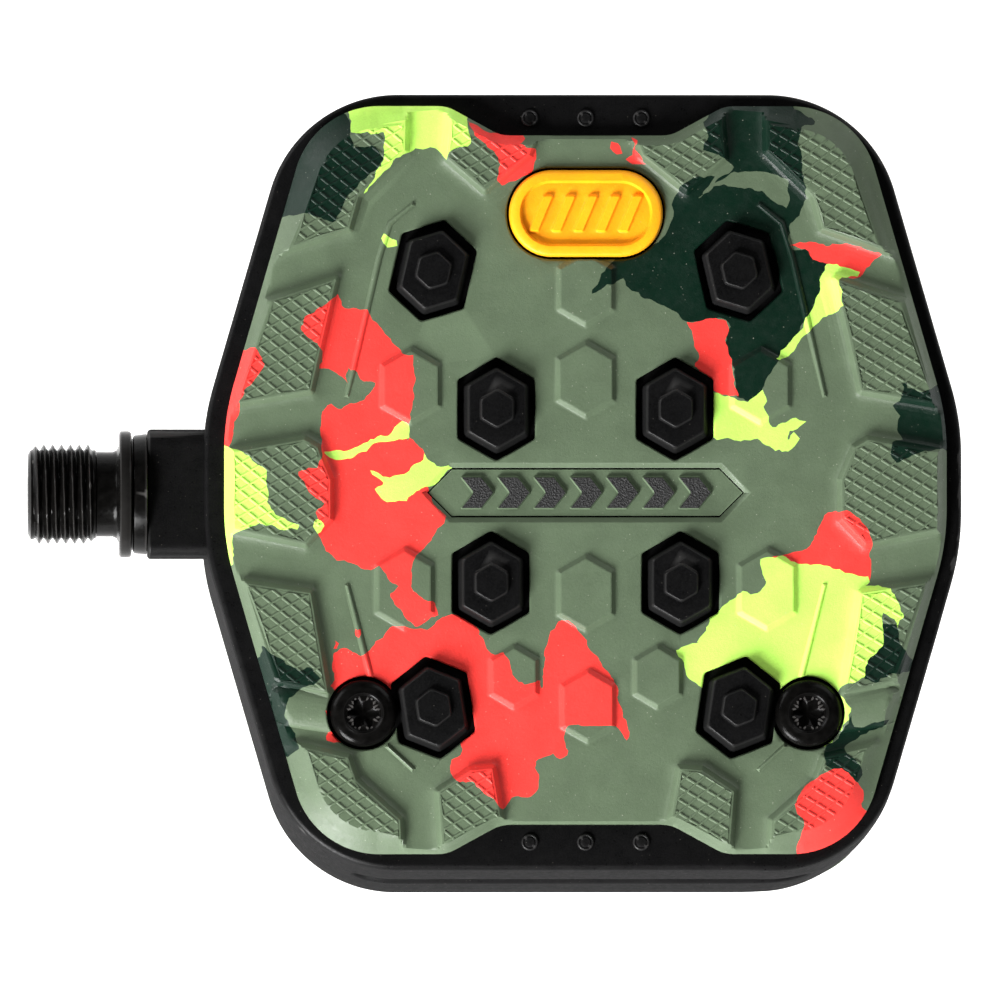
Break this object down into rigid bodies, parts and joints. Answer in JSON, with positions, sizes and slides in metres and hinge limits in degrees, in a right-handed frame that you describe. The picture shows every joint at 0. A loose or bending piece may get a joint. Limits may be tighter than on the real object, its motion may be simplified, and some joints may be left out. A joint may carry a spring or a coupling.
{
  "type": "flat pedal",
  "caption": "Double-sided flat bicycle pedal with rubber tread pads, hexagonal studs and a platform that spins on a threaded axle.",
  "frame": {"origin": "on the axle's axis, in the plane of the shoulder that seats against the crank arm", "axes": "+X along the axle, away from the crank; +Y towards the platform edge with the badge on the top face; +Z out of the top tread"},
  "size_m": [0.1339, 0.1144, 0.0226],
  "materials": {
    "composite": "fine moulded texture",
    "tread_rubber": "matt camouflage rubber, sage green with dark green, red and yellow-green",
    "badge_rubber": "smooth yellow-orange",
    "grit": "coarse grit",
    "black_steel": "gloss black oxide",
    "screw_steel": "black zinc",
    "bright_steel": "ground",
    "brass": "knurled",
    "nylon": "natural",
    "seal_rubber": "smooth",
    "bearing_polymer": "smooth"
  },
  "bodies": {
    "axle": {"axle": "black_steel", "bearing_inner_race": "bright_steel", "axle_washer": "bright_steel", "lock_nut": "bright_steel"},
    "platform": {"pedal_body": "composite", "end_cap": "composite", "lip_seal": "seal_rubber", "end_cap_o_ring": "seal_rubber", "axle_bush": "bearing_polymer", "bearing_outer_race": "bright_steel", "tread_pad_top": "tread_rubber", "badge_top": "badge_rubber", "grip_strip_top": "grit", "pad_screw_inner_top": "screw_steel", "threaded_insert_inner_top": "brass", "pad_screw_outer_top": "screw_steel", "threaded_insert_outer_top": "brass", "tread_pad_bottom": "tread_rubber", "badge_bottom": "badge_rubber", "grip_strip_bottom": "grit", "pad_screw_inner_bottom": "screw_steel", "threaded_insert_inner_bottom": "brass", "pad_screw_outer_bottom": "screw_steel", "threaded_insert_outer_bottom": "brass"},
    "bearing_cage": {"bearing_cage": "nylon", "bearing_ball_1": "bright_steel", "bearing_ball_2": "bright_steel", "bearing_ball_3": "bright_steel", "bearing_ball_4": "bright_steel", "bearing_ball_5": "bright_steel", "bearing_ball_6": "bright_steel", "bearing_ball_7": "bright_steel", "bearing_ball_8": "bright_steel"}
  },
  "joints": [
    {"name": "platform_spin", "type": "hinge", "parent": "axle", "child": "platform", "pos_m": [0.06, 0, 0], "axis": [1, 0, 0], "continuous": true},
    {"name": "cage_spin", "type": "hinge", "parent": "axle", "child": "bearing_cage", "pos_m": [0.1065, 0, 0], "axis": [1, 0, 0], "continuous": true}
  ],
  "couplings": [
    {"joint": "cage_spin", "follows": "platform_spin", "ratio": 0.625}
  ]
}
